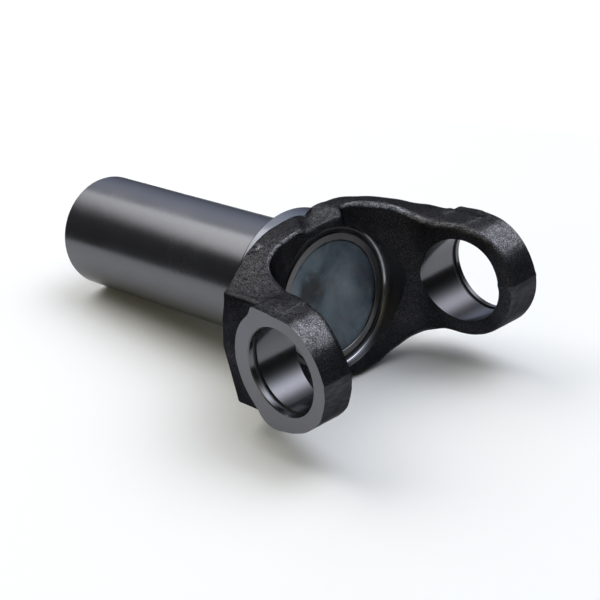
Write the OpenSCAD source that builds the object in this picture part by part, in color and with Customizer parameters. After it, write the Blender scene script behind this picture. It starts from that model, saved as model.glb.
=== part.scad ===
// Slip yoke for a universal joint: one forging with a ground barrel, splined
// inside, and an expansion plug pressed into the hub between the two ears.
// X runs along the barrel and points from the barrel towards the ears.
// Y is the axis of the two ear bores. The origin is where the two axes cross.

/* [Barrel] */
// Outside diameter of the ground barrel
barrel_d = 38.2; // [37.6:0.1:39]
// From the cross-bore axis to the open end of the barrel
barrel_end = 141.4; // [130:0.1:150]
// Chamfer on the outer edge of the open end
barrel_chamfer = 0.9; // [0.4:0.1:1.4]
// Outside diameter of the turned shoulder behind the hub
shoulder_d = 50.5; // [49.8:0.1:51.2]
// From the cross-bore axis to the back edge of the shoulder
shoulder_back = 42.85; // [41:0.05:45]

/* [Internal spline] */
// Number of spline teeth
spline_teeth = 27; // [24:1:30]
// Diameter over the spline roots
spline_major_d = 30.0; // [29.6:0.1:30.4]
// Diameter inside the spline tips
spline_minor_d = 27.5; // [27:0.1:28]
// Diameter of the plain pilot bore at the open end
pilot_d = 31.2; // [30.8:0.1:31.6]
// Depth of the plain pilot bore
pilot_depth = 12; // [8:0.5:16]
// Diameter of the relief bored between the spline and the plug seat
relief_d = 31.6; // [31:0.1:32.2]
// From the cross-bore axis to the end of the spline
spline_stop = 46; // [44:0.5:52]

/* [Ears] */
// Span over the machined outer faces of the ears
ear_span = 88.2; // [87.4:0.1:89]
// Diameter of the bearing cap bores
cap_bore_d = 26.98; // [26.6:0.02:27.2]
// Diameter of the ear boss
ear_boss_d = 37.3; // [36.8:0.1:38]
// Distance between the inner walls of the two snap ring grooves
ring_gap = 81.76; // [81:0.02:82.4]
// Width of a snap ring groove
ring_groove_w = 1.6; // [1.2:0.1:1.9]
// Diameter at the bottom of a snap ring groove
ring_groove_d = 28.6; // [28:0.1:29.2]
// Chamfer at the outer edge of each bore
bore_chamfer = 0.35; // [0.2:0.05:0.5]
// Y of the inner face of an ear at the bore axis
ear_inner = 29.3; // [28.6:0.1:30]

/* [Hub] */
// Diameter of the hub between the lugs
hub_d = 52.0; // [51:0.2:52]
// X of the back face of the hub
hub_back = -34.5; // [-35.5:0.1:-33.5]
// X of the front face of the hub
hub_front = -23.2; // [-23.6:0.1:-22.8]
// Half height of the hub and lugs at their flat middle
lug_top = 26.1; // [26.1:0.1:26.4]
// Half height of the lugs at the ears
lug_half_h = 16.8; // [16.4:0.1:17.4]
// Radius of the arch of the lug tops, seen along the barrel
arch_r = 84; // [80:1:96]
// Y of the forged outer side of a lug
lug_side = 40.8; // [40:0.1:41.4]

/* [Plug seat] */
// Diameter of the counterbore in the hub's front face
counterbore_d = 45.4; // [44.8:0.1:45.8]
// X of the floor of the counterbore
counterbore_x = -25.9; // [-26.3:0.1:-25.5]
// Outer diameter of the raised ring round the plug
ring_d = 40.3; // [39.8:0.1:40.8]
// X of the top of the raised ring
ring_x = -25.1; // [-25.3:0.1:-24.9]
// Diameter of the expansion plug
plug_d = 36.4; // [36:0.1:36.8]
// X of the ledge that the plug is pressed against
ledge_x = -27.3; // [-27.6:0.1:-27.1]
// Thickness of the plug
plug_t = 1.8; // [1.5:0.1:1.9]
// Depth of the dish in the plug
plug_dish = 0.9; // [0.5:0.1:1.2]

/* [Hidden] */
barrel_r = barrel_d / 2;
shoulder_r = shoulder_d / 2;
hub_r = hub_d / 2;
boss_r = ear_boss_d / 2;
boss_x = -0.6;
nose_x = boss_x + boss_r;
// arch: height of the lug top above the bore plane at a given Y, flat in the middle
arch_top = lug_half_h + arch_r - sqrt(arch_r * arch_r - 40.3 * 40.3);
function arch_z(y) = min(lug_top, arch_top - (arch_r - sqrt(arch_r * arch_r - y * y)));
// a point of a circle of radius r, at a degrees, about (x, y)
function on_circle(x, y, r, a) = [x + r * cos(a), y + r * sin(a)];
// plan outline of the forging's back and side, +Y half, from the middle outwards
back_half = [[hub_back, 0], [hub_back, 14], [-32.2, 23], [-29.2, 33],
             [-26.4, 39.4], [-25.2, lug_side]];
// plan outline of the open gap, +Y half: hub front, root, inner face of the ear
gap_half = [[hub_front, 0], [hub_front, 21.5], [-22.2, 22.9], [-20.4, 24.4],
            [-17.5, 25.5], [-13.2, ear_inner - 2.75], [nose_x + 3, ear_inner + 0.21 * (nose_x + 3)]];
function mirror_y(pts) = [for (i = [len(pts) - 1:-1:0]) [pts[i][0], -pts[i][1]]];

// solid of revolution about the X axis from [x, r] points
module turned(pts, fn = 120) {
    rotate([90, 0, 90])
        rotate_extrude($fn = fn)
            polygon([for (q = pts) [q[1], q[0]]]);
}

// cylinder along X from x0 to x1
module rod_x(x0, x1, r, fn = 120) {
    translate([x0, 0, 0]) rotate([0, 90, 0]) cylinder(h = x1 - x0, r = r, $fn = fn);
}

// cylinder along Y from y0 to y1 at x
module rod_y(y0, y1, r, x = 0, r2 = -1, fn = 120) {
    translate([x, y0, 0]) rotate([-90, 0, 0])
        cylinder(h = y1 - y0, r1 = r, r2 = r2 < 0 ? r : r2, $fn = fn);
}

// turned outside: barrel, shoulder and the round of the hub
module barrel_and_shoulder() {
    turned([[-barrel_end, 0], [-barrel_end, barrel_r - barrel_chamfer],
            [-barrel_end + barrel_chamfer, barrel_r], [-shoulder_back - 1.2, barrel_r],
            [-shoulder_back, barrel_r + 1.2], [-shoulder_back, shoulder_r - 0.5],
            [-shoulder_back + 0.5, shoulder_r], [hub_back, shoulder_r],
            [hub_back, hub_r - 0.6], [hub_back + 0.6, hub_r],
            [hub_front - 0.6, hub_r], [hub_front, hub_r - 0.6], [hub_front, 0]]);
}

// lugs and webs, seen from above and bounded by the arch seen along the barrel
module lugs() {
    intersection() {
        translate([0, 0, -30])
            linear_extrude(height = 60)
                polygon(concat(back_half, [[-4, lug_side], [-4, -lug_side]], mirror_y(back_half)));
        rotate([90, 0, 90])
            translate([0, 0, -40])
                linear_extrude(height = 60)
                    polygon(concat([for (y = [-42:3:42]) [y, arch_z(y)]],
                                   [for (y = [42:-3:-42]) [y, -arch_z(y)]]));
    }
}

// one ear: round boss with the two corners where the lug's flat top runs out
module ear(s) {
    mirror([0, s < 0 ? 1 : 0, 0]) {
        rod_y(18, ear_span / 2, boss_r, boss_x);
        translate([0, ear_span / 2, 0]) rotate([90, 0, 0])
            linear_extrude(height = ear_span / 2 - 18)
                polygon([[0, 18.2], [-9.6, 17.8], [-11.8, 13.8], [-11.8, -13.8], [-9.6, -17.8], [0, -18.2]]);
    }
}

// space between the ears, a little wider at the top and bottom for draft
module gap() {
    for (s = [0, 1]) mirror([0, 0, s])
        linear_extrude(height = 30, scale = [1, 1.16])
            polygon(concat(gap_half, mirror_y(gap_half)));
}

module bores() {
    rod_y(-50, 50, cap_bore_d / 2);
    for (s = [0, 1]) mirror([0, s, 0]) {
        rod_y(ring_gap / 2, ring_gap / 2 + ring_groove_w, ring_groove_d / 2);
        rod_y(ear_span / 2 - bore_chamfer, ear_span / 2 + 0.5, cap_bore_d / 2,
              r2 = cap_bore_d / 2 + bore_chamfer + 0.5);
    }
}

// inside of the barrel and the plug seat, open at both ends
module inside() {
    turned([[-barrel_end - 1, 0], [-barrel_end - 1, pilot_d / 2 + 2], [-barrel_end + 1, pilot_d / 2],
            [-barrel_end + pilot_depth, pilot_d / 2], [-barrel_end + pilot_depth + 1.2, spline_minor_d / 2],
            [-spline_stop, spline_minor_d / 2], [-spline_stop + 0.01, relief_d / 2],
            [ledge_x, relief_d / 2], [ledge_x, plug_d / 2], [ring_x - 0.2, plug_d / 2],
            [ring_x, plug_d / 2 + 0.2], [ring_x + 12, plug_d / 2 + 0.2], [ring_x + 12, 0]]);
    turned([[counterbore_x, ring_d / 2 + 0.6], [ring_x - 0.2, ring_d / 2], [ring_x, ring_d / 2 - 0.2],
            [ring_x, 0], [ring_x + 12, 0], [ring_x + 12, counterbore_d / 2],
            [counterbore_x + 0.5, counterbore_d / 2], [counterbore_x, counterbore_d / 2 - 0.5]]);
}

// spline tooth spaces, as one star-shaped cutter
module spline_cut() {
    p = 360 / spline_teeth;
    translate([-barrel_end + pilot_depth - 0.5, 0, 0]) rotate([0, 90, 0])
        linear_extrude(height = barrel_end - pilot_depth - spline_stop + 0.6)
            polygon([for (i = [0:spline_teeth - 1]) for (k = [0:3])
                on_circle(0, 0, k == 0 || k == 3 ? spline_minor_d / 2 - 0.3 : spline_major_d / 2,
                          i * p + [-0.29, -0.17, 0.17, 0.29][k] * p)]);
}

module yoke() {
    color([0.24, 0.24, 0.26])
    difference() {
        union() {
            barrel_and_shoulder();
            difference() {
                union() {
                    lugs();
                    ear(1);
                    ear(-1);
                }
                gap();
            }
        }
        bores();
        inside();
        spline_cut();
    }
}

// dished disc with a short flat rim
module expansion_plug() {
    n = 12;
    r = plug_d / 2;
    rim = r - 2.2;
    color([0.55, 0.60, 0.66])
    turned(concat(
        [[ledge_x, 0]],
        [[ledge_x, r - 0.2], [ledge_x + 0.2, r], [ledge_x + plug_t - 0.3, r], [ledge_x + plug_t, r - 0.3]],
        [for (i = [0:n]) let (q = rim * (1 - i / n))
            [ledge_x + plug_t - plug_dish * pow(cos(90 * q / rim), 2), q]]));
}

yoke();
expansion_plug();
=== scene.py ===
"""Slip yoke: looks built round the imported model. Metres, in the same frame as the CAD."""
import math

import bmesh
import bpy
import numpy as np
from mathutils import Matrix, Vector


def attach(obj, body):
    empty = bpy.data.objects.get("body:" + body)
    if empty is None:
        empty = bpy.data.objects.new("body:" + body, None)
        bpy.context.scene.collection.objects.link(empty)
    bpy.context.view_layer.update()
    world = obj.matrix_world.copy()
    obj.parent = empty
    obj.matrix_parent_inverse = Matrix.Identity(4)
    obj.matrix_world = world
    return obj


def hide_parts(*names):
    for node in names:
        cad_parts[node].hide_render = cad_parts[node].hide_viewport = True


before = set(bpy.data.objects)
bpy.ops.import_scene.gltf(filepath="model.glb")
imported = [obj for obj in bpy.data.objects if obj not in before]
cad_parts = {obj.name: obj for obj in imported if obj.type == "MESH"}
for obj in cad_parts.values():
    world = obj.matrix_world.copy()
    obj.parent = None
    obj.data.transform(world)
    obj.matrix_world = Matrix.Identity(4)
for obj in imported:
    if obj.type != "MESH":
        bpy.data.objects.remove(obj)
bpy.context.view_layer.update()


def plain(box):
    return [[float(c) for c in p] for p in box]


MM = 0.001

# ---------------------------------------------------------------- numbers (mm)
BARREL_R = 19.1
BARREL_END = -141.4
SHOULDER_R = 25.25
SHOULDER_BACK = -42.85
EAR_FACE = 44.1
BORE_R = 13.49
GRID = 0.54


# ------------------------------------------------------------- small functions
def spline(xs, ys):
    """Natural cubic spline through the points, straight beyond its ends."""
    xs, ys = np.array(xs, float), np.array(ys, float)
    n, h = len(xs), np.diff(xs)
    a, b = np.eye(n), np.zeros(n)
    for i in range(1, n - 1):
        a[i, i - 1 : i + 2] = h[i - 1], 2 * (h[i - 1] + h[i]), h[i]
        b[i] = 6 * ((ys[i + 1] - ys[i]) / h[i] - (ys[i] - ys[i - 1]) / h[i - 1])
    m = np.linalg.solve(a, b)

    def f(x):
        x = np.asarray(x, float)
        i = np.clip(np.searchsorted(xs, x) - 1, 0, n - 2)
        hi, t, u = h[i], x - xs[i], xs[i + 1] - x
        inside = (
            m[i] * u**3 / (6 * hi)
            + m[i + 1] * t**3 / (6 * hi)
            + (ys[i] / hi - m[i] * hi / 6) * u
            + (ys[i + 1] / hi - m[i + 1] * hi / 6) * t
        )
        lo = (ys[1] - ys[0]) / h[0] - h[0] * (2 * m[0] + m[1]) / 6
        hi_ = (ys[-1] - ys[-2]) / h[-1] + h[-1] * (m[-2] + 2 * m[-1]) / 6
        out = np.where(x < xs[0], ys[0] + lo * (x - xs[0]), inside)
        return np.where(x > xs[-1], ys[-1] + hi_ * (x - xs[-1]), out)

    return f


def smin(a, b, k):
    h = np.maximum(k - np.abs(a - b), 0) / k
    return np.minimum(a, b) - h * h * k * 0.25


def smax(a, b, k):
    return -smin(-a, -b, k)


def rmax(a, b, r):
    """Intersection with the edge rounded to radius r."""
    return np.minimum(np.maximum(a, b), -r) + np.hypot(
        np.maximum(a + r, 0), np.maximum(b + r, 0)
    )


def rmin(a, b, r):
    """Union with a fillet of radius r."""
    return -rmax(-a, -b, r)


def ramp(x, a, b):
    t = np.clip((x - a) / (b - a), 0, 1)
    return t * t * (3 - 2 * t)


class Waves:
    """Smooth seeded noise as a sum of plane waves, about -1 to 1."""

    def __init__(self, seed, length, count=28):
        rng = np.random.default_rng(seed)
        d = rng.normal(size=(count, 3))
        d /= np.linalg.norm(d, axis=1)[:, None]
        self.k = d * (2 * math.pi / (length * rng.uniform(0.75, 1.6, (count, 1))))
        self.p = rng.uniform(0, 2 * math.pi, count)
        self.a = 1.4 / math.sqrt(count)

    def __call__(self, p):
        out = np.zeros(len(p))
        for k, ph in zip(self.k, self.p):
            out += np.sin(p @ k + ph)
        return out * self.a


# ------------------------------------------------------- the forging's surface
# half height of the hub and lugs over the parting plane, by |Y|
top_of = spline(
    [0, 3, 6.2, 10, 15, 20, 25, 30, 34.6, 39, 41.5, 44, 48],
    [26.2, 26.5, 26.6, 26.4, 25.95, 25.05, 23.6, 21.35, 19.4, 17.9, 17.7, 17.6, 17.6],
)
# how much of that rise over the ears is left, by X
rise_of = spline([-60, -30, -27, -24.8, -21.6, -19.8, -17.3, -14, -11, -9, 0, 30], [1, 1, 0.99, 0.95, 0.86, 0.78, 0.6, 0.32, 0.1, 0.02, 0, 0])
# X of the back edge at the top, by |Y|
back_of = spline(
    [0, 8, 14.4, 20, 26, 33, 40.3, 46],
    [-34.6, -34.5, -34.2, -33.1, -31.3, -28.8, -25.9, -23.4],
)

# how much higher the top of the far lug is than that, by Y: along its back and its front
far_back = spline(
    [-60, 0, 3, 6, 9, 12, 15, 18, 21, 24, 27, 30, 33, 36, 39, 42, 60],
    [0, 0, 0.1, 0.3, 0.45, 0.62, 0.6, 0.34, 0.12, 0.18, 0.38, 0.56, 0.62, 0.42, -0.2, -0.9, -0.9],
)
far_front = spline(
    [-60, 0, 3, 6, 9, 12, 15, 18, 21, 24, 27, 30, 33, 36, 39, 42, 60],
    [0, 0, 0.1, 0.3, 0.45, 0.6, 0.45, 0.2, 0.1, 0.1, 0.1, 0.15, 0.25, 0.42, 0.45, 0.42, 0.4],
)


def gap_outline():
    """Half outline of the open gap at the parting plane, from the hub outwards."""
    x = [-23.2, -23.2, -23.15, -22.9, -22.2, -21.1, -19.5, -17.4, -15.2, -12.6]
    y = [0, 5, 9.5, 12.8, 15.8, 18.7, 21.3, 23.5, 25.3, 26.7]
    x += [-9, -4, 0, 8, 20, 32]
    y += [27.6, 28.6, 29.35, 31.0, 33.5, 36.0]
    t = np.concatenate([[0], np.cumsum(np.hypot(np.diff(x), np.diff(y)))])
    s = np.linspace(0, t[-1], 160)
    return np.stack([spline(t, x)(s), spline(t, y)(s)], 1)


def plan_distance(x, y, pts):
    """Signed distance in plan to the gap, negative inside it, on a grid of x by |y|."""
    px, py = np.meshgrid(x, y, indexing="ij")
    best = np.full(px.shape, 1e9)
    side = np.zeros(px.shape)
    for a, b in zip(pts[:-1], pts[1:]):
        d = b - a
        t = np.clip(((px - a[0]) * d[0] + (py - a[1]) * d[1]) / (d @ d), 0, 1)
        qx, qy = px - a[0] - t * d[0], py - a[1] - t * d[1]
        r = np.hypot(qx, qy)
        s = np.sign(qx * d[1] - qy * d[0])
        side = np.where(r < best - 1e-9, s, side)
        best = np.minimum(best, r)
    return -best * side


def forging(x, y, z):
    """Distance-like field of the forging on the grid, negative inside."""
    X, Y, Z = x[:, None, None], y[None, :, None], z[None, None, :]
    ay, az = np.abs(Y), np.abs(Z)
    up = ramp(Z, -6, 6)  # 1 on the upper half
    ze = Z + 0.5  # the dies met a little low at the ears
    aze = np.abs(ze)

    # top and bottom of hub and lugs; the far lug came out of the die a little fuller
    T = 17.7 + (top_of(ay) - 17.7) * (rise_of(X) * up + rise_of(X - 1.5) * (1 - up))
    fill = far_back(Y) + (far_front(Y) - far_back(Y)) * ramp(X, -27, -18)
    fill = fill * (1 - ramp(X, -11, -6)) - 0.2 * ramp(Y, 33, 39) * ramp(X, -11, -6)
    fill = fill + 0.6 * np.exp(-(((X + 9.8) / 2.1) ** 2)) * ramp(Y, 36, 39)
    T = T + fill * up
    # underneath, the dies met lower at the hub and at the near lug
    low = 0.45 * ramp(X, -18, -12) * ramp(Y, 21, 26) + 1.3 * (1 - ramp(ay, 14, 20))
    low = low + (1.1 + 0.15 * ramp(X, -27, -18)) * ramp(-Y, 30, 38)
    T = T + low * (1 - up)
    # valley across the hub's top, beside a raised pad
    vx, vy = 10.0, -7.4
    n = math.hypot(vx, vy)
    along = ((X + 34.5) * vx + (Y - 0.8) * vy) / n
    across = ((X + 34.5) * -vy + (Y - 0.8) * vx) / n
    valley = np.exp(-((across / 1.7) ** 2)) * ramp(along, -2.5, 1.5)
    T = T - (1.9 * valley) * ramp(Z, 6, 14)
    nick = np.exp(-(((X + 28.9) / 0.8) ** 2) - ((Y + 23.2) / 0.9) ** 2)
    T = T - 0.7 * nick * ramp(Z, 6, 14)
    pad = ramp(across, 0.6, 2.4) * (1 - ramp(Y, 6.5, 10.5)) * ramp(Z, 8, 14)
    T = T + 0.35 * pad
    # the pad's back corner is cut off at a slant, and its front slopes down
    slant = ((-32.3 - X) * 4.6 - Y * 1.9) / 4.98
    cut = ramp(slant, -0.1, 0.8) * ramp(Y, -1.5, 0.5) * (1 - ramp(Y, 4.5, 6.5))
    front = (1 - ramp(-Y, 2, 5)) * (1 - ramp(Y, 6.5, 9)) * up
    T = T - 0.45 * front * 0.5 * (X + 27.2 + np.sqrt((X + 27.2) ** 2 + 0.6))

    slope = 0.93
    f_top = (az - T) * slope
    back = back_of(ay) - (top_of(ay) - az) * math.tan(math.radians(7.3))
    back = back - (1.0 * (1 - ramp(Z, 8, 15)) + 0.025 * np.maximum(-Z, 0)) * ramp(-Y, 26, 34)
    f_back = (back - X) * 0.95
    f_side = (ay - (41.55 - az * math.tan(math.radians(4.0)))) * 0.995
    lug = rmax(f_top, f_back, 0.9)
    lug = rmax(lug, f_side, 1.0)
    lug = np.maximum(lug, X - 1.0)

    # round ears about Y, a little flatter along the top
    turn = np.degrees(np.arctan2(-ze, X + 0.8))
    er = np.hypot(X + 0.8, ze) - (18.6 - 0.25 * ramp(-Z, 5, 13) * ramp(X, -8, 0) * np.where(Y < 0, 1, ramp(X, 3, 9)))
    er = er - 0.3 * np.exp(-((turn / 20) ** 2)) - 0.35 * np.exp(-(((turn - 36) / 9) ** 2)) * (Y < 0)
    er = er + 0.25 * np.exp(-(((turn + 64) / 14) ** 2)) * (Y > 0)
    far = (Y > 0) * up
    crest = Z - (17.45 - 0.10 * X) + far * (0.05 + 0.08 * np.maximum(-X, 0))
    ear = smax(er, crest, 1.2)
    ear = np.maximum(ear, 20 - ay)
    out = smin(lug, ear, 1.6)

    # boss: flat top and bottom corners where the machined face ends
    bottom = np.where(Y < 0, 19.7 - 0.2 * np.maximum(X + 4.0, 0), 19.65 + 0.12 * np.minimum(X + 4.6, 0))
    slab = np.maximum(crest, -Z - bottom)
    corner = -0.875 * (X + 9.3 + 2.8 * far) + 0.484 * (aze - 18.2)
    corner = np.where((Y < 0) & (Z < -9), -0.867 * (X + 12.36) + 0.499 * (-Z - 16.2), corner)
    slab = rmax(slab, corner, 0.7 + 1.1 * far + 2.6 * (1 - up) * (Y < 0))
    slab = np.maximum(slab, np.where((Y < 0) & (Z < 0), X - 2.0, X + 1.5))
    slab = np.maximum(slab, 36 - ay)
    out = smin(out, slab, 0.8)

    # hub
    rho = np.hypot(Y, Z)
    hub = rmax(rho - 25.7, X + 23.2, 0.8)
    hub = rmax(hub, -34.5 - X, 0.6)
    out = smin(out, hub + 0 * X, 1.6)
    out = np.maximum(out, Z - 24.7 - 3.2 * (1 - cut))

    # the open gap, with draft away from the parting plane
    gap = plan_distance(x, np.abs(y), gap_outline())[:, :, None]
    draft = 0.07 + 0.05 * (1 - ramp(X, -20, -11))
    near_root = 0.5 + 0.5 * ramp(-Y, 13, 20) + 0.5 * ramp(-Y, 19, 26) * (1 - ramp(-Y, 28, 34))
    near_root = np.where(Y < 0, near_root, 1.0)
    low_root = ramp(ay, 19, 27)
    draft = draft * (near_root * up + low_root * (1 - up))
    # the pad's front stands ahead of the lugs
    draft = draft * (1 - (1 - ramp(-Y, 4.4, 8.0)) * (1 - ramp(Y, 6.0, 9.0)) * up)
    lean = draft * az
    lean = np.minimum(lean, 1.85 + 6 * ramp(rho, 20.4, 23.2))
    inner = -(gap - lean) * 0.99
    edge = 2.8 - 1.6 * ramp(Y, 3.5, 7) + 1.0 * ramp(Y, 9, 19) - 1.7 * ramp(-Y, 5, 9) + 1.2 * ramp(-Y, 26, 34)
    edge = edge - (1.3 + 0.6 * (Y < 0)) * ramp(X, 2, 12) * (1 - ramp(Z, -4, 6))
    edge = np.maximum(edge, 0.45)
    edge = edge * (1 - front) + 0.8 * front
    body = rmax(out, inner, edge)
    body = np.maximum(body, ay - 46.0)

    # trimmed flash: a low ridge along the parting plane on the noses
    ridge = np.exp(-(((Z - 0.6 - 0.02 * (ay - 36)) / 0.55) ** 2))
    return body - 0.3 * ridge * ramp(X, 4, 9)


def nets(F, x, y, z):
    """Surface nets: one vertex in each cell that the surface passes, quads between."""
    inside = F < 0
    nx, ny, nz = F.shape
    cnt = np.zeros((nx - 1, ny - 1, nz - 1), np.int16)
    for i in (0, 1):
        for j in (0, 1):
            for k in (0, 1):
                cnt += inside[i : nx - 1 + i, j : ny - 1 + j, k : nz - 1 + k]
    cell = np.argwhere((cnt > 0) & (cnt < 8))
    index = np.full((nx - 1, ny - 1, nz - 1), -1, np.int64)
    index[tuple(cell.T)] = np.arange(len(cell))
    acc = np.zeros((len(cell), 3))
    num = np.zeros(len(cell))
    for axis in range(3):
        u, v = [a for a in range(3) if a != axis]
        for du in (0, 1):
            for dv in (0, 1):
                a = cell.copy()
                a[:, u] += du
                a[:, v] += dv
                b = a.copy()
                b[:, axis] += 1
                fa, fb = F[tuple(a.T)], F[tuple(b.T)]
                hit = (fa < 0) != (fb < 0)
                t = np.where(hit, fa / np.where(hit, fa - fb, 1), 0)
                p = a.astype(float)
                p[:, axis] += t
                acc[hit] += p[hit]
                num += hit
    vert = acc / num[:, None]
    faces = []
    for axis in range(3):
        u, v = [(1, 2), (2, 0), (0, 1)][axis]
        lo = [slice(None)] * 3
        hi = [slice(None)] * 3
        lo[axis], hi[axis] = slice(0, -1), slice(1, None)
        a, b = inside[tuple(lo)], inside[tuple(hi)]
        e = np.argwhere(a != b)
        e = e[(e[:, u] > 0) & (e[:, v] > 0)]
        e = e[(e[:, u] < F.shape[u] - 1) & (e[:, v] < F.shape[v] - 1)]
        q = []
        for du, dv in ((1, 1), (0, 1), (0, 0), (1, 0)):
            c = e.copy()
            c[:, u] -= du
            c[:, v] -= dv
            q.append(index[tuple(c.T)])
        q = np.stack(q, 1)
        flip = ~a[tuple(e.T)]
        q[flip] = q[flip][:, ::-1]
        faces.append(q)
    step = np.array([x[1] - x[0], y[1] - y[0], z[1] - z[0]])
    return vert * step + np.array([x[0], y[0], z[0]]), np.concatenate(faces)


def vertex_normals(v, quads):
    n = np.cross(v[quads[:, 2]] - v[quads[:, 0]], v[quads[:, 3]] - v[quads[:, 1]])
    out = np.zeros_like(v)
    for k in range(4):
        np.add.at(out, quads[:, k], n)
    return out / np.maximum(np.linalg.norm(out, axis=1), 1e-12)[:, None]


def mesh_object(name, verts, faces, mats, smooth=True):
    me = bpy.data.meshes.new(name)
    me.from_pydata([tuple(p) for p in verts], [], [tuple(int(i) for i in f) for f in faces])
    me.update()
    for m in mats:
        me.materials.append(m)
    if smooth:
        me.polygons.foreach_set("use_smooth", [True] * len(me.polygons))
    ob = bpy.data.objects.new(name, me)
    bpy.context.scene.collection.objects.link(ob)
    return ob


def quad_mesh(name, verts, quads, mats):
    me = bpy.data.meshes.new(name)
    me.vertices.add(len(verts))
    me.vertices.foreach_set("co", np.asarray(verts, np.float32).ravel())
    me.loops.add(quads.size)
    me.loops.foreach_set("vertex_index", quads.astype(np.int32).ravel())
    me.polygons.add(len(quads))
    me.polygons.foreach_set("loop_start", np.arange(len(quads), dtype=np.int32) * 4)
    me.update(calc_edges=True)
    me.validate()
    for m in mats:
        me.materials.append(m)
    ob = bpy.data.objects.new(name, me)
    bpy.context.scene.collection.objects.link(ob)
    return ob


def lathe(name, profile, segs, mat, axis="X", closed=False, ids=None):
    """Closed solid of revolution. profile is a list of (along, radius) in mm.
    With closed, the profile is a ring of points that doesn't touch the axis."""
    pr = np.array(profile, float)
    ang = np.linspace(0, 2 * math.pi, segs, endpoint=False)
    verts, rows = [], []
    for a, r in pr:
        if r < 1e-6:
            rows.append([len(verts)] * segs)
            verts.append((a, 0, 0))
        else:
            rows.append(list(range(len(verts), len(verts) + segs)))
            verts += [(a, r * math.cos(t), r * math.sin(t)) for t in ang]
    faces, which = [], []
    pairs = list(range(len(pr) - 1)) + ([len(pr) - 1] if closed else [])
    for i in pairs:
        p, q = rows[i], rows[(i + 1) % len(pr)]
        for k in range(segs):
            m = (k + 1) % segs
            if p[k] == p[m]:
                faces.append((p[k], q[k], q[m]))
            elif q[k] == q[m]:
                faces.append((p[m], p[k], q[k]))
            else:
                faces.append((p[m], p[k], q[k], q[m]))
            which.append(0 if ids is None else ids[i])
    v = np.array(verts)
    if axis == "Y":
        v = v[:, [1, 0, 2]] * [1, 1, 1]
        faces = [f[::-1] for f in faces]
    mats = mat if isinstance(mat, list) else [mat]
    ob = mesh_object(name, v * MM, faces, mats)
    ob.data.polygons.foreach_set("material_index", which)
    # make it face outwards
    me = ob.data
    me.calc_loop_triangles()
    tri = np.array([t.vertices for t in me.loop_triangles])
    co = np.array([p.co for p in me.vertices])
    vol = np.einsum("ij,ij->i", co[tri[:, 0]], np.cross(co[tri[:, 1]], co[tri[:, 2]])).sum()
    if vol < 0:
        me.flip_normals()
    return ob


def boolean(base, tool, operation):
    m = base.modifiers.new("b", "BOOLEAN")
    m.solver = "MANIFOLD"
    m.operation = operation
    m.object = tool
    m.material_mode = "TRANSFER"
    dg = bpy.context.evaluated_depsgraph_get()
    dg.update()
    me = bpy.data.meshes.new_from_object(base.evaluated_get(dg), depsgraph=dg)
    base.modifiers.clear()
    old = base.data
    base.data = me
    bpy.data.meshes.remove(old)
    bpy.data.objects.remove(tool)
    return base


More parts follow.
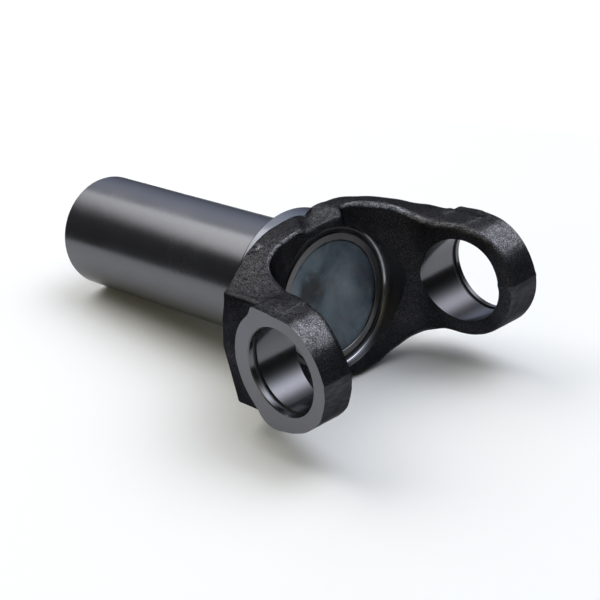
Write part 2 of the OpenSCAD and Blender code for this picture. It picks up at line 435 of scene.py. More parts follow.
# ------------------------------------------------------------------ materials
class Mat:
    """A node material with short ways to add nodes."""

    def __init__(self, name):
        self.m = bpy.data.materials.new(name)
        self.m.use_nodes = True
        self.t = self.m.node_tree
        self.bsdf = self.t.nodes["Principled BSDF"]
        self.coord = None

    def node(self, kind, **kw):
        n = self.t.nodes.new(kind)
        for k, v in kw.items():
            setattr(n, k, v)
        return n

    def link(self, a, b):
        self.t.links.new(a, b)

    def object_coords(self):
        if self.coord is None:
            self.coord = self.node("ShaderNodeTexCoord").outputs["Object"]
        return self.coord

    def separate(self):
        n = self.node("ShaderNodeSeparateXYZ")
        self.link(self.object_coords(), n.inputs[0])
        return n.outputs

    def mapped(self, scale=(1, 1, 1), vec=None):
        n = self.node("ShaderNodeMapping")
        n.inputs["Scale"].default_value = scale
        self.link(vec or self.object_coords(), n.inputs["Vector"])
        return n.outputs[0]

    def noise(self, scale, detail=2.0, rough=0.5, vec=None, dist=0.0):
        n = self.node("ShaderNodeTexNoise")
        n.inputs["Scale"].default_value = scale
        n.inputs["Detail"].default_value = detail
        n.inputs["Roughness"].default_value = rough
        n.inputs["Distortion"].default_value = dist
        self.link(vec or self.object_coords(), n.inputs["Vector"])
        return n.outputs["Fac"]

    def voronoi(self, scale, feature="F1", vec=None):
        n = self.node("ShaderNodeTexVoronoi", feature=feature)
        n.inputs["Scale"].default_value = scale
        self.link(vec or self.object_coords(), n.inputs["Vector"])
        return n.outputs["Distance"]

    def math(self, op, a, b=None, c=None, clamp=False):
        n = self.node("ShaderNodeMath", operation=op, use_clamp=clamp)
        for i, v in enumerate((a, b, c)):
            if v is None:
                continue
            if isinstance(v, (int, float)):
                n.inputs[i].default_value = v
            else:
                self.link(v, n.inputs[i])
        return n.outputs[0]

    def remap(self, v, a, b, c, d, smooth=False):
        n = self.node("ShaderNodeMapRange")
        n.interpolation_type = "SMOOTHSTEP" if smooth else "LINEAR"
        for i, w in enumerate((a, b, c, d)):
            n.inputs[1 + i].default_value = w
        self.link(v, n.inputs[0])
        return n.outputs[0]

    def ramp(self, v, stops):
        n = self.node("ShaderNodeValToRGB")
        cr = n.color_ramp
        while len(cr.elements) < len(stops):
            cr.elements.new(0.5)
        for e, (p, c) in zip(cr.elements, stops):
            e.position = p
            e.color = (*c, 1)
        self.link(v, n.inputs[0])
        return n.outputs[0]

    def mix(self, f, a, b):
        n = self.node("ShaderNodeMix", data_type="RGBA")
        if isinstance(f, (int, float)):
            n.inputs[0].default_value = f
        else:
            self.link(f, n.inputs[0])
        for i, v in ((6, a), (7, b)):
            if isinstance(v, tuple):
                n.inputs[i].default_value = (*v, 1)
            else:
                self.link(v, n.inputs[i])
        return n.outputs[2]

    def bump(self, height, strength, distance, prev=None):
        n = self.node("ShaderNodeBump")
        n.inputs["Strength"].default_value = strength
        n.inputs["Distance"].default_value = distance
        self.link(height, n.inputs["Height"])
        if prev is not None:
            self.link(prev, n.inputs["Normal"])
        return n.outputs[0]

    def set(self, **kw):
        for k, v in kw.items():
            s = self.bsdf.inputs[k.replace("_", " ")]
            if isinstance(v, (int, float)):
                s.default_value = v
            elif isinstance(v, tuple):
                s.default_value = (*v, 1)
            else:
                self.link(v, s)
        return self


def forged_skin():
    k = Mat("forged_skin")
    grain = k.noise(3000, 2, 0.6)
    coarse = k.noise(620, 2, 0.5)
    patch = k.noise(95, 3, 0.5)
    # shot-blasted scale: near black grain; the lighter tops and rounded gap edges are painted highlight, the walls
    # painted shade
    sep = k.node("ShaderNodeSeparateXYZ")
    k.link(k.node("ShaderNodeNewGeometry").outputs["Normal"], sep.inputs[0])
    nx, ny, nz = sep.outputs
    px, py, pz = k.separate()
    ay, az, by = k.math("ABSOLUTE", ny), k.math("ABSOLUTE", nz), k.math("ABSOLUTE", py)
    fine = k.math("ADD", k.math("MULTIPLY", grain, 0.8), k.math("MULTIPLY", coarse, 0.2))
    # painted shade: faces that stand up, the walls and the inner faces of the gap, take this lower tone
    wall_shade_tone = k.ramp(
        k.math("ADD", k.math("MULTIPLY", grain, 0.7), k.math("MULTIPLY", patch, 0.3)),
        [(0.36, (0.011, 0.011, 0.0125)), (0.5, (0.026, 0.026, 0.030)), (0.64, (0.062, 0.062, 0.072))],
    )
    plain = k.ramp(fine, [(0.38, (0.014, 0.014, 0.015)), (0.50, (0.038, 0.037, 0.039)), (0.62, (0.112, 0.110, 0.114))])
    # painted highlight tone
    highlight_tone = k.ramp(fine, [(0.38, (0.055, 0.055, 0.058)), (0.50, (0.135, 0.135, 0.141)), (0.62, (0.36, 0.36, 0.37))])
    # 1 on faces that look up, 0 on walls, which get the painted-shade tone
    level = k.remap(az, 0.45, 0.62, 0.0, 1.0, True)
    # painted highlight on the ear tops that face up and forward, toward a lamp
    ear = k.math("ADD", k.math("MULTIPLY", nx, 0.59), k.math("MULTIPLY", az, 0.807))
    ear = k.math("MULTIPLY", k.remap(ear, 0.91, 0.985, 0.0, 1.0, True), k.remap(px, 0.001, 0.010, 0.0, 1.0, True))
    # painted highlight along the rounded edges of the gap, and at the lug roots below
    edge = k.math("MULTIPLY", k.remap(ay, 0.22, 0.45, 0, 1, True), k.remap(ay, 0.78, 0.92, 1, 0, True))
    edge = k.math("MULTIPLY", edge, k.remap(az, 0.30, 0.50, 0, 1, True))
    edge = k.math("MULTIPLY", edge, k.remap(by, 0.0335, 0.0355, 1, 0, True))
    outer = k.math("MULTIPLY", k.remap(py, -0.0205, -0.0240, 0.0, 1.0, True), k.remap(ny, 0.0, -0.1, 0.0, 1.0))
    edge = k.math("MULTIPLY", edge, k.math("SUBTRACT", 1.0, outer))
    edge = k.math("MULTIPLY", edge, k.remap(py, -0.0085, -0.0070, 1.0, 0.15, True))
    root = k.math("MULTIPLY", k.remap(az, 0.93, 0.82, 0, 1, True), k.remap(az, 0.30, 0.50, 0, 1, True))
    root = k.math("MULTIPLY", root, k.remap(nx, -0.3, 0.05, 0, 1, True))
    root = k.math("MULTIPLY", root, k.math("MULTIPLY", k.remap(px, -0.010, -0.014, 0, 1, True), k.remap(by, 0.0335, 0.0355, 1, 0, True)))
    root = k.math("MULTIPLY", root, k.remap(by, 0.0075, 0.0098, 0.12, 0.75, True))
    edge = k.math("MULTIPLY", k.math("MAXIMUM", k.math("MULTIPLY", edge, 0.8), root), k.remap(coarse, 0.35, 0.6, 0.4, 1.15))
    painted_highlight = k.math("MULTIPLY", k.math("MAXIMUM", ear, edge), k.remap(patch, 0.35, 0.6, 0.7, 1.0))
    # painted shade: the near lug's top is toned down by up to a tenth where its faces turn toward a lamp's glint
    lean = k.math("ADD", k.math("MULTIPLY", nx, 0.10), k.math("ADD", k.math("MULTIPLY", ny, -0.51), k.math("MULTIPLY", nz, 0.856)))
    shade = k.math("MULTIPLY", k.remap(lean, 0.955, 0.995, 0.0, 0.10, True), k.remap(py, -0.0235, -0.0275, 0.0, 1.0, True))
    plain = k.mix(shade, plain, (0.0, 0.0, 0.0))

    def near(spot, r0, r1):
        n = k.node("ShaderNodeVectorMath", operation="DISTANCE")
        k.link(k.object_coords(), n.inputs[0])
        n.inputs[1].default_value = tuple(c * MM for c in spot)
        return n.outputs["Value"], k.remap(n.outputs["Value"], r0 * MM, r1 * MM, 1.0, 0.0, True)

    # a nick and a scratch on the back edge: the low tone in them is painted shade, the ring round the nick a painted
    # highlight
    dist, nick_shade = near((-30.6, -22.6, 24.1), 0.45, 0.95)
    for spot in ((-29.8, -25.6, 23.0), (-29.6, -24.6, 23.2), (-29.35, -23.6, 23.4)):
        nick_shade = k.math("MAXIMUM", nick_shade, near(spot, 0.25, 0.7)[1])
    nick_rim_highlight = k.math("MULTIPLY", k.remap(dist, 0.0009, 0.0013, 0.0, 1.0), k.remap(dist, 0.0014, 0.0019, 1.0, 0.0))
    plain = k.mix(k.math("MULTIPLY", nick_shade, 0.8), plain, (0.005, 0.005, 0.005))
    plain = k.mix(k.math("MULTIPLY", nick_rim_highlight, 0.25), plain, (0.16, 0.16, 0.16))
    # painted shade in the valley across the hub's top; it also takes the painted highlight off there
    valley_shade = near((-31.0, -1.8, 25.5), 0.8, 2.8)[1]
    for spot in ((-28.6, -3.8, 25.2), (-26.4, -5.4, 25.0), (-24.6, -6.4, 24.4)):
        valley_shade = k.math("MAXIMUM", valley_shade, near(spot, 0.8, 2.8)[1])
    plain = k.mix(k.math("MULTIPLY", valley_shade, 0.35), plain, (0.004, 0.004, 0.004))
    # painted light on the top of the raised pad
    pad_light = near((-28.5, 2.0, 26.5), 3.5, 8.0)[1]
    painted_highlight = k.math("MAXIMUM", painted_highlight, k.math("MULTIPLY", pad_light, k.remap(coarse, 0.4, 0.6, 0.14, 0.30)))
    painted_highlight = k.math("MULTIPLY", painted_highlight, k.math("SUBTRACT", 1.0, k.math("MULTIPLY", valley_shade, 0.8)))
    col = k.mix(painted_highlight, k.mix(level, wall_shade_tone, plain), highlight_tone)
    # the noses under the parting line were trimmed smooth, with less bump; their lighter colour is a painted
    # reflection of the floor
    trimmed_and_floor_lit = k.math("MULTIPLY", k.remap(pz, 0.0002, 0.0005, 1.0, 0.0), k.remap(px, 0.010, 0.0115, 0.0, 1.0, True))
    trimmed_and_floor_lit = k.math("MULTIPLY", trimmed_and_floor_lit, k.remap(nx, 0.45, 0.6, 0.0, 1.0, True))
    line = k.noise(1500, 2, 0.5, vec=k.mapped((0.05, 0.25, 1.0)))
    col = k.mix(trimmed_and_floor_lit, col, k.ramp(line, [(0.35, (0.038, 0.038, 0.043)), (0.65, (0.064, 0.064, 0.071))]))
    h = k.math("ADD", grain, k.math("MULTIPLY", coarse, 0.35))
    h = k.math("MULTIPLY", h, k.remap(trimmed_and_floor_lit, 0.0, 1.0, 1.0, 0.25))
    rough = k.remap(grain, 0.3, 0.7, 0.50, 0.32)
    k.set(Base_Color=col, Metallic=1.0, Roughness=rough, Normal=k.bump(h, 1.0, 0.00018), Specular_Tint=(0.4, 0.4, 0.4))
    return k.m


def machined(name, base, rough, aniso=0.0, lines=None, mottle=0.25, tint=0.75):
    """Bare steel. lines = (axis kind, scale, strength) of the tool marks."""
    k = Mat(name)
    patch = k.noise(60, 3, 0.55)
    fine = k.noise(900, 2, 0.5)
    lo = tuple(c * (1 - mottle) for c in base)
    hi = tuple(min(1, c * (1 + mottle)) for c in base)
    col = k.ramp(k.math("ADD", k.math("MULTIPLY", patch, 0.7), k.math("MULTIPLY", fine, 0.3)), [(0.3, lo), (0.7, hi)])
    r = k.remap(patch, 0.3, 0.7, rough * 0.88, rough * 1.12)
    k.set(Base_Color=col, Metallic=1.0, Roughness=r, Anisotropic=aniso, Specular_Tint=(tint, tint, tint))
    if lines:
        kind, scale, strength, dist = lines
        x, y, z = k.separate()
        if kind == "around_x":  # marks that run round the barrel: they vary along X
            c = k.node("ShaderNodeCombineXYZ")
            k.link(x, c.inputs[0])
            v = k.noise(scale, 4, 0.7, vec=c.outputs[0])
        elif kind == "around_y":
            c = k.node("ShaderNodeCombineXYZ")
            k.link(y, c.inputs[1])
            v = k.noise(scale, 4, 0.7, vec=c.outputs[0])
        elif kind == "rings_x":  # turned face: marks vary with the distance from the X axis
            rr = k.math("SQRT", k.math("ADD", k.math("MULTIPLY", y, y), k.math("MULTIPLY", z, z)))
            c = k.node("ShaderNodeCombineXYZ")
            k.link(rr, c.inputs[0])
            v = k.noise(scale, 3, 0.7, vec=c.outputs[0])
        elif kind == "rings_y":
            rr = k.math("SQRT", k.math("ADD", k.math("MULTIPLY", x, x), k.math("MULTIPLY", z, z)))
            c = k.node("ShaderNodeCombineXYZ")
            k.link(rr, c.inputs[0])
            v = k.noise(scale, 3, 0.7, vec=c.outputs[0])
        k.set(Normal=k.bump(v, strength, dist))
    return k.m


def corner_with_painted_highlight():
    """The polished corner of the counterbore, its colour painted light: a lit tone all round, except low down, where
    only its outer half is lit and the inner half takes painted shade.
    """
    k = Mat("seat_corner")
    x, y, z = k.separate()
    rr = k.math("SQRT", k.math("ADD", k.math("MULTIPLY", y, y), k.math("MULTIPLY", z, z)))
    f = k.math("MAXIMUM", k.remap(z, -0.013, -0.008, 0.0, 1.0, True), k.remap(rr, 0.02246, 0.02252, 0.0, 1.0))
    col = k.mix(f, (0.03, 0.03, 0.032), (0.30, 0.30, 0.32))
    k.set(Base_Color=col, Metallic=1.0, Roughness=0.16, Specular_Tint=(0.75, 0.75, 0.75))
    return k.m


def plug_finish():
    k = Mat("zinc_plate")
    x, y, z = k.separate()
    swirl = k.noise(70, 4, 0.6, dist=1.2)
    cloud = k.noise(190, 4, 0.65)

    def spot(cy, cz, wide):
        """1 at a place on the disc, fading out over its radius in metres"""
        dy, dz = k.math("SUBTRACT", y, cy), k.math("SUBTRACT", z, cz)
        d = k.math("SQRT", k.math("ADD", k.math("MULTIPLY", dy, dy), k.math("MULTIPLY", dz, dz)))
        d = k.math("ADD", d, k.math("MULTIPLY", k.math("SUBTRACT", swirl, 0.5), wide * 1.2))
        return k.remap(d, wide * 0.2, wide, 1.0, 0.0, True)

    f = k.math("ADD", k.math("MULTIPLY", swirl, 0.55), k.math("MULTIPLY", cloud, 0.45))
    f = k.math("ADD", f, k.math("MULTIPLY", spot(0.004, 0.001, 0.009), 0.10))
    f = k.math("SUBTRACT", f, k.math("MULTIPLY", spot(-0.0066, 0.0057, 0.0082), 0.27))
    f = k.math("SUBTRACT", f, k.math("MULTIPLY", spot(0.016, -0.004, 0.010), 0.06))
    col = k.ramp(
        f,
        [(0.22, (0.043, 0.046, 0.049)), (0.38, (0.068, 0.085, 0.102)), (0.52, (0.104, 0.132, 0.159)), (0.66, (0.150, 0.173, 0.192))],
    )
    warm = k.remap(k.noise(110, 3, 0.6, dist=0.5), 0.5, 0.7, 0.0, 0.45, True)
    col = k.mix(warm, col, (0.124, 0.120, 0.130))
    rough = k.remap(cloud, 0.3, 0.7, 0.28, 0.42)
    fine = k.noise(1300, 3, 0.6)
    k.set(Base_Color=col, Metallic=1.0, Roughness=rough, Normal=k.bump(fine, 0.25, 0.00003))
    return k.m


SKIN = forged_skin()
GROUND = machined("ground_barrel", (0.131, 0.131, 0.140), 0.25, 0.0, ("around_x", 5200, 0.18, 0.00002), 0.06)
TURNED = machined("turned_shoulder", (0.17, 0.175, 0.195), 0.24, 0.0, ("around_x", 3600, 0.3, 0.00003), 0.08)
EAR = machined("milled_ear_face", (0.16, 0.16, 0.175), 0.38, 0.0, ("rings_y", 2600, 0.12, 0.00002), 0.05)
BORE = machined("bored_ear", (0.125, 0.125, 0.135), 0.20, 0.0, ("around_y", 5200, 0.25, 0.00002), 0.06)
# painted light: the groove's steel is given a lighter base than the bore's, standing in for light inside the groove
GROOVE = machined("snap_ring_groove", (0.17, 0.17, 0.185), 0.42, 0.0, ("around_y", 4000, 0.3, 0.00003), 0.1)
SEAT = machined("turned_seat", (0.140, 0.138, 0.144), 0.33, 0.0, ("rings_x", 4200, 0.35, 0.00003), 0.08)
CORNER = corner_with_painted_highlight()
# painted shade: the seat's undercut band is the seat's turned steel at a lower tone
SHADED_SEAT = machined("seat_undercut_shade", (0.068, 0.067, 0.071), 0.42, 0.0, ("rings_x", 4200, 0.35, 0.00003), 0.1)
WALL = machined("seat_run_out", (0.11, 0.11, 0.122), 0.48, 0.0, ("around_x", 3000, 0.3, 0.00003), 0.1)
INSIDE = machined("broached_inside", (0.12, 0.12, 0.13), 0.32, 0.0, ("around_x", 1800, 0.3, 0.00003), 0.1)
ZINC = plug_finish()

# ---------------------------------------------------------------- the forging
xs = np.arange(-41.0, 20.6, GRID)
ys = np.arange(-47.6, 47.6 + GRID, GRID)
zs = np.arange(-29.4, 29.4 + GRID, GRID)
F = forging(xs, ys, zs)
V, Q = nets(F, xs, ys, zs)
N = vertex_normals(V, Q)
lumps = 0.05 * Waves(3, 15)(V) + 0.010 * Waves(5, 5.5)(V) + 0.004 * Waves(7, 2.2)(V)
calm = 1 - 0.6 * ramp(V[:, 0], 6, 12) * ramp(-V[:, 2], -1, 1)
V = V + N * (lumps * calm)[:, None]
yoke = quad_mesh("yoke_forging", V * MM, Q, [SKIN])

# a sliver of burr on the back edge of the hub's top
n = 12
path = np.array([(-31.2, -1.2, 26.5), (-31.8, 0.6, 26.95), (-32.6, 2.4, 27.05), (-33.2, 3.9, 26.95)])
t = np.linspace(0, 1, n)
mid = np.stack([spline([0, 0.35, 0.7, 1], path[:, i])(t) for i in range(3)], 1)
thick = 0.38 * np.sin(math.pi * (0.08 + 0.87 * t)) ** 0.8
v, f = [], []
for p, w in zip(mid, thick):
    v += [p + w * np.array(o) for o in ((0.9, 0.35, -1.6), (0.3, 0.15, 0.5), (-0.25, -0.1, 0.75), (-0.75, -0.3, 0.1), (-0.4, -0.2, -1.6))]
for i in range(n - 1):
    f += [(5 * i + j, 5 * i + (j + 1) % 5, 5 * i + 5 + (j + 1) % 5, 5 * i + 5 + j) for j in range(5)]
f += [(4, 3, 2, 1, 0), tuple(5 * n - 5 + j for j in range(5))]
sliver = mesh_object("burr", np.array(v) * MM, f, [EAR], False)
yoke = boolean(yoke, sliver, "UNION")

# machined outer faces of the ears
for s in (1, -1):
    b = 60.0
    v = [(x, y, z) for x in (-60, 60) for y in (EAR_FACE * s, (EAR_FACE + 20) * s) for z in (-60, 60)]
    f = [(0, 1, 3, 2), (4, 6, 7, 5), (0, 4, 5, 1), (2, 3, 7, 6), (0, 2, 6, 4), (1, 5, 7, 3)]
    if s < 0:
        f = [q[::-1] for q in f]
    yoke = boolean(yoke, mesh_object("face_cutter", np.array(v, float) * MM, f, [EAR], False), "DIFFERENCE")

# ground barrel and turned shoulder
barrel = [
    (BARREL_END, 0), (BARREL_END, BARREL_R - 0.62), (BARREL_END + 0.1, BARREL_R - 0.42),
    (BARREL_END + 0.45, BARREL_R - 0.08), (BARREL_END + 0.7, BARREL_R), (-110, BARREL_R), (-80, BARREL_R),
    (SHOULDER_BACK - 1.4, BARREL_R), (SHOULDER_BACK - 0.7, BARREL_R + 0.18),
    (SHOULDER_BACK - 0.2, BARREL_R + 0.65), (SHOULDER_BACK, BARREL_R + 1.3),
    (SHOULDER_BACK, SHOULDER_R - 0.7), (SHOULDER_BACK + 0.12, SHOULDER_R - 0.35),
    (SHOULDER_BACK + 0.45, SHOULDER_R - 0.06), (SHOULDER_BACK + 0.8, SHOULDER_R), (-31.0, SHOULDER_R), (-31.0, 0),
]
ids = [0] * 7 + [1] * (len(barrel) - 8)
yoke = boolean(yoke, lathe("barrel", barrel, 288, [GROUND, TURNED], "X", ids=ids), "UNION")

# ear bores, their edges and snap ring grooves
half = [
    (20, BORE_R), (40.88, BORE_R), (40.92, 14.3), (42.4, 14.3), (42.44, BORE_R),
    (EAR_FACE - 0.32, BORE_R), (EAR_FACE + 1.0, BORE_R + 1.32),
]
prof = [(-a, r) for a, r in half[::-1]] + half
prof = [(prof[0][0], 0)] + prof + [(prof[-1][0], 0)]
ids = []
for (a0, r0), (a1, r1) in zip(prof[:-1], prof[1:]):
    ids.append(1 if max(r0, r1) > 14.0 and min(abs(a0), abs(a1)) < 43 else 0)
yoke = boolean(yoke, lathe("bores", prof, 288, [BORE, GROOVE], "Y", ids=ids), "DIFFERENCE")

# plug seat, relief, spline's inner bore and pilot
seat = [
    (BARREL_END - 2, 0), (BARREL_END - 2, 18.2), (BARREL_END + 0.9, 15.6), (BARREL_END + 12, 15.6),
    (BARREL_END + 13.2, 13.75), (-46, 13.75), (-46, 15.8), (-27.3, 15.8), (-27.3, 18.2), (-25.25, 18.2),
    (-25.1, 18.3), (-25.1, 20.2), (-25.2, 20.36), (-25.75, 20.55), (-25.92, 20.9), (-26.0, 21.5), (-26.0, 21.8),
    (-25.95, 22.05), (-25.78, 22.24), (-25.36, 22.6), (-25.1, 22.8), (-24.2, 23.08), (-23.2, 23.35), (-20.0, 23.6),
    (-12.0, 24.0), (30, 24.2), (30, 0),
]
ids = [0 if a[0] < -27.4 or b[0] < -27.4 else 2 if a[0] > -23.5 else 1 for a, b in zip(seat[:-1], seat[1:])]
ids[seat.index((-25.78, 22.24))] = 3
for i in range(seat.index((-25.1, 20.2)), seat.index((-25.78, 22.24))):
    ids[i] = 4
yoke = boolean(yoke, lathe("seat", seat, 288, [INSIDE, SEAT, WALL, CORNER, SHADED_SEAT], "X", ids=ids), "DIFFERENCE")

# spline
teeth = 27
pitch = 2 * math.pi / teeth
ring = []
for i in range(teeth):
    for r, a in ((13.4, -0.30), (14.55, -0.235), (15.0, -0.16), (15.0, 0.0), (15.0, 0.16), (14.55, 0.235), (13.4, 0.30)):
        ring.append((r * math.cos((i + a) * pitch), r * math.sin((i + a) * pitch)))
m = len(ring)
v = [(x, y, z) for x in (BARREL_END + 11.0, -45.2) for y, z in ring]
f = [tuple(range(m))[::-1], tuple(range(m, 2 * m))]
f += [(i, (i + 1) % m, m + (i + 1) % m, m + i) for i in range(m)]
cut = mesh_object("spline_cutter", np.array(v) * MM, f, [INSIDE], False)
yoke = boolean(yoke, cut, "DIFFERENCE")
yoke.name = "yoke_forging"

# slivers without area, left where two cuts meet
bm = bmesh.new()
bm.from_mesh(yoke.data)
bmesh.ops.remove_doubles(bm, verts=bm.verts, dist=0.000002)
bmesh.ops.dissolve_degenerate(bm, dist=0.000002, edges=bm.edges)
bmesh.ops.triangulate(bm, faces=[f for f in bm.faces if len(f.verts) > 4])
bm.verts.index_update()
twins = {}
for face in bm.faces:
    twins.setdefault(frozenset(q.index for q in face.verts), []).append(face)
twins = [face for same in twins.values() if len(same) > 1 for face in same]
bmesh.ops.delete(bm, geom=twins, context="FACES")
bm.to_mesh(yoke.data)
bm.free()


def finish_normals(ob, angle=32):
    """Smooth shading, sharp at true edges, and exact normals on the turned surfaces."""
    me = ob.data
    me.polygons.foreach_set("use_smooth", [True] * len(me.polygons))
    me.set_sharp_from_angle(angle=math.radians(angle))
    mi = np.zeros(len(me.polygons), np.int32)
    me.polygons.foreach_get("material_index", mi)
    names = [x.name for x in me.materials]
    cn = np.zeros(len(me.loops) * 3, np.float32)
    me.corner_normals.foreach_get("vector", cn)
    cn = cn.reshape(-1, 3).astype(float)
    pn = np.zeros(len(me.polygons) * 3, np.float32)
    me.polygon_normals.foreach_get("vector", pn)
    pn = pn.reshape(-1, 3)
    ls = np.zeros(len(me.polygons), np.int32)
    lt = np.zeros(len(me.polygons), np.int32)
    me.polygons.foreach_get("loop_start", ls)
    me.polygons.foreach_get("loop_total", lt)
    lv = np.zeros(len(me.loops), np.int32)
    me.loops.foreach_get("vertex_index", lv)
    co = np.zeros(len(me.vertices) * 3, np.float32)
    me.vertices.foreach_get("co", co)
    co = co.reshape(-1, 3)
    face_of = np.repeat(np.arange(len(ls)), lt)
    p = co[lv]
    fn = pn[face_of]
    mat = mi[face_of]
    for i, name in enumerate(names):
        if name in ("ground_barrel", "turned_shoulder", "turned_seat", "seat_run_out", "seat_corner", "seat_undercut_shade", "broached_inside"):
            a, b = 1, 2
        elif name in ("bored_ear", "snap_ring_groove"):
            a, b = 0, 2
        elif name == "milled_ear_face":
            sel = mat == i
            cn[sel] = np.stack([0 * fn[sel, 0], np.sign(fn[sel, 1]), 0 * fn[sel, 0]], 1)
            continue
        else:
            continue
        sel = mat == i
        rad = np.zeros((len(p), 3))
        rr = np.hypot(p[:, a], p[:, b])
        rad[:, a], rad[:, b] = p[:, a] / np.maximum(rr, 1e-9), p[:, b] / np.maximum(rr, 1e-9)
        dot = (rad * fn).sum(1)
        near = sel & (np.abs(dot) > math.cos(math.radians(3.0)))
        cn[near] = rad[near] * np.sign(dot[near])[:, None]
    me.normals_split_custom_set([tuple(n) for n in cn])
    me.update()


finish_normals(yoke)
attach(yoke, "root")
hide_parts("yoke")

# ------------------------------------------------------------------- the plug
rim = 18.2
prof = [(-27.3, 0), (-27.3, 17.9), (-27.2, 18.1), (-27.0, rim), (-25.55, rim), (-25.42, 18.14), (-25.36, 17.95), (-25.35, 17.5)]
dish = [(-25.35 - 0.95 * math.cos(math.pi / 2 * (q / 17.0)) ** 1.6, q) for q in np.linspace(17.0, 0, 34)]
prof += dish
plug = lathe("expansion_plug_dish", prof, 288, ZINC, "X")
co = np.zeros(len(plug.data.vertices) * 3)
plug.data.vertices.foreach_get("co", co)
co = co.reshape(-1, 3)
front = co[:, 0] > -0.0268
r = np.hypot(co[:, 1], co[:, 2])
wob = Waves(21, 9)(co * 1000) * 0.035 + Waves(23, 3.5)(co * 1000) * 0.006
co[:, 0] += np.where(front, wob * 0.001 * (1 - ramp(r, 0.0150, 0.0170)), 0)
plug.data.vertices.foreach_set("co", co.ravel())
plug.data.set_sharp_from_angle(angle=math.radians(40))
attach(plug, "root")
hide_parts("expansion_plug")

# --------------------------------------------------------------- floor, light
deps = np.zeros(len(yoke.data.vertices) * 3, np.float32)
yoke.data.vertices.foreach_get("co", deps)
deps = deps.reshape(-1, 3)
# the plane under the hub and the barrel's end: lowest line that touches both
tail = deps[deps[:, 0] < -0.12]
head = deps[deps[:, 0] > -0.06]
slope = 0.0
for _ in range(20):
    a = tail[np.argmin(tail[:, 2] - slope * tail[:, 0])]
    b = head[np.argmin(head[:, 2] - slope * head[:, 0])]
    slope = (b[2] - a[2]) / (b[0] - a[0])
base = (deps[:, 2] - slope * deps[:, 0]).min() - 0.00002
me = bpy.data.meshes.new("floor")
ring = [(-0.05 + 0.21 * math.cos(a), 0.21 * math.sin(a)) for a in np.linspace(0, 2 * math.pi, 96, endpoint=False)]
me.from_pydata([(x, y, base + slope * x) for x, y in ring], [], [tuple(range(96))])
floor = bpy.data.objects.new("floor", me)
bpy.context.scene.collection.objects.link(floor)
k = Mat("pale_floor")
k.set(Base_Color=(0.92, 0.918, 0.897), Roughness=0.8)
k.bsdf.inputs["Specular IOR Level"].default_value = 0.15
me.materials.append(k.m)


def area(name, loc, target, size, power, color=(1, 1, 1), size_y=None):
    d = bpy.data.lights.new(name, "AREA")
    d.shape = "RECTANGLE" if size_y else "SQUARE"
    d.size = size
    if size_y:
        d.size_y = size_y
    d.energy = power
    d.color = color
    o = bpy.data.objects.new(name, d)
    bpy.context.scene.collection.objects.link(o)
    o.location = loc
    o.rotation_euler = (Vector(target) - Vector(loc)).to_track_quat("-Z", "Y").to_euler()
    return o


def toward(el, az, dist=1.0):
    el, az = math.radians(el), math.radians(az)
    return Vector((math.cos(el) * math.cos(az), math.cos(el) * math.sin(az), math.sin(el))) * dist


# softbox at the left, over the barrel's open end
area("box_left", toward(54, 193, 2.0), (0, 0, 0), 1.35, 16.3, (1.0, 1.0, 0.99), 1.45)

# round soft lights all round, as glows in the studio's dome: elevation, azimuth, colour
GLOWS = [
    (55, 36, (2.35, 2.56, 2.64)),
    (70, 36, (1.95, 2.05, 2.48)),
    (55, 72, (1.75, 1.71, 1.85)),
    (25, 288, (0.76, 0.71, 0.45)),
    (70, 216, (0.85, 0.80, 0.64)),
    (40, 154, (1.05, 1.10, 1.20)),
    (20, 140, (0.40, 0.46, 0.64)),
    (12, 205, (0.09, 0.09, 0.10)),
]
AMBIENT = (0.036, 0.037, 0.036)
SPREAD = math.radians(13.6)

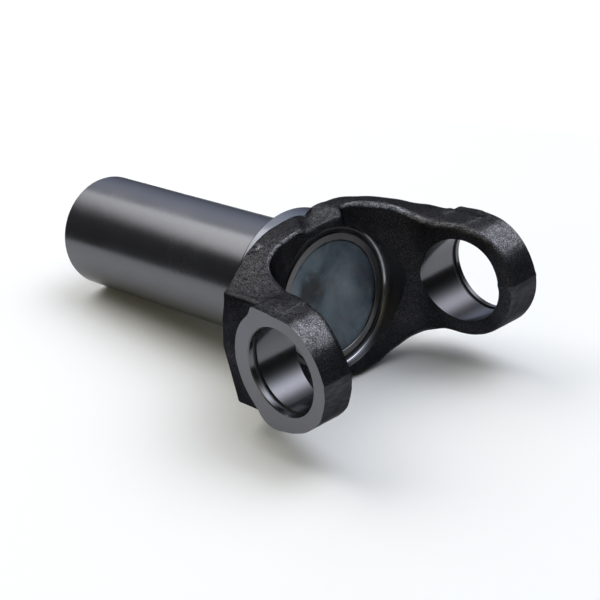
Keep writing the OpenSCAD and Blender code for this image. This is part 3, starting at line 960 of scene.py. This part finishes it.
world = bpy.data.worlds.new("studio")
bpy.context.scene.world = world
world.use_nodes = True
t = world.node_tree
t.nodes.clear()
out = t.nodes.new("ShaderNodeOutputWorld")
mixs = t.nodes.new("ShaderNodeMixShader")
path = t.nodes.new("ShaderNodeLightPath")
seen = t.nodes.new("ShaderNodeBackground")
seen.inputs[0].default_value = (1, 1, 1, 1)
seen.inputs[1].default_value = 1.1
lit = t.nodes.new("ShaderNodeBackground")
tc = t.nodes.new("ShaderNodeTexCoord")
total = None
for el, az, color in GLOWS:
    dot = t.nodes.new("ShaderNodeVectorMath")
    dot.operation = "DOT_PRODUCT"
    dot.inputs[1].default_value = toward(el, az)
    t.links.new(tc.outputs["Generated"], dot.inputs[0])
    m1 = t.nodes.new("ShaderNodeMath")
    m1.operation = "MULTIPLY_ADD"
    m1.inputs[1].default_value = 1 / SPREAD**2
    m1.inputs[2].default_value = -1 / SPREAD**2
    t.links.new(dot.outputs["Value"], m1.inputs[0])
    m2 = t.nodes.new("ShaderNodeMath")
    m2.operation = "EXPONENT"
    t.links.new(m1.outputs[0], m2.inputs[0])
    sc = t.nodes.new("ShaderNodeVectorMath")
    sc.operation = "SCALE"
    sc.inputs[0].default_value = color
    t.links.new(m2.outputs[0], sc.inputs["Scale"])
    if total is None:
        total = sc.outputs[0]
    else:
        add = t.nodes.new("ShaderNodeVectorMath")
        add.operation = "ADD"
        t.links.new(total, add.inputs[0])
        t.links.new(sc.outputs[0], add.inputs[1])
        total = add.outputs[0]
add = t.nodes.new("ShaderNodeVectorMath")
add.operation = "ADD"
add.inputs[1].default_value = AMBIENT
t.links.new(total, add.inputs[0])
t.links.new(add.outputs[0], lit.inputs[0])
lit.inputs[1].default_value = 1.0
t.links.new(path.outputs["Is Camera Ray"], mixs.inputs[0])
t.links.new(lit.outputs[0], mixs.inputs[1])
t.links.new(seen.outputs[0], mixs.inputs[2])
t.links.new(mixs.outputs[0], out.inputs[0])

# -------------------------------------------------------------------- camera
cam = bpy.data.cameras.new("camera")
cam.sensor_width = 36.0
cam.lens = 105.046
cam.clip_start = 0.01
cam.clip_end = 50
camera = bpy.data.objects.new("camera", cam)
bpy.context.scene.collection.objects.link(camera)
right = Vector((0.66540605, 0.73446669, -0.13339219))
down = Vector((0.20861857, -0.35454175, -0.91147048))
fwd = Vector((-0.71673781, 0.57866988, -0.38913761))
rot = Matrix((right, -down, -fwd)).transposed().to_4x4()
camera.matrix_world = Matrix.Translation((0.35078, -0.31640, 0.20857)) @ rot
bpy.context.scene.camera = camera
bpy.context.scene.view_settings.view_transform = "Standard"
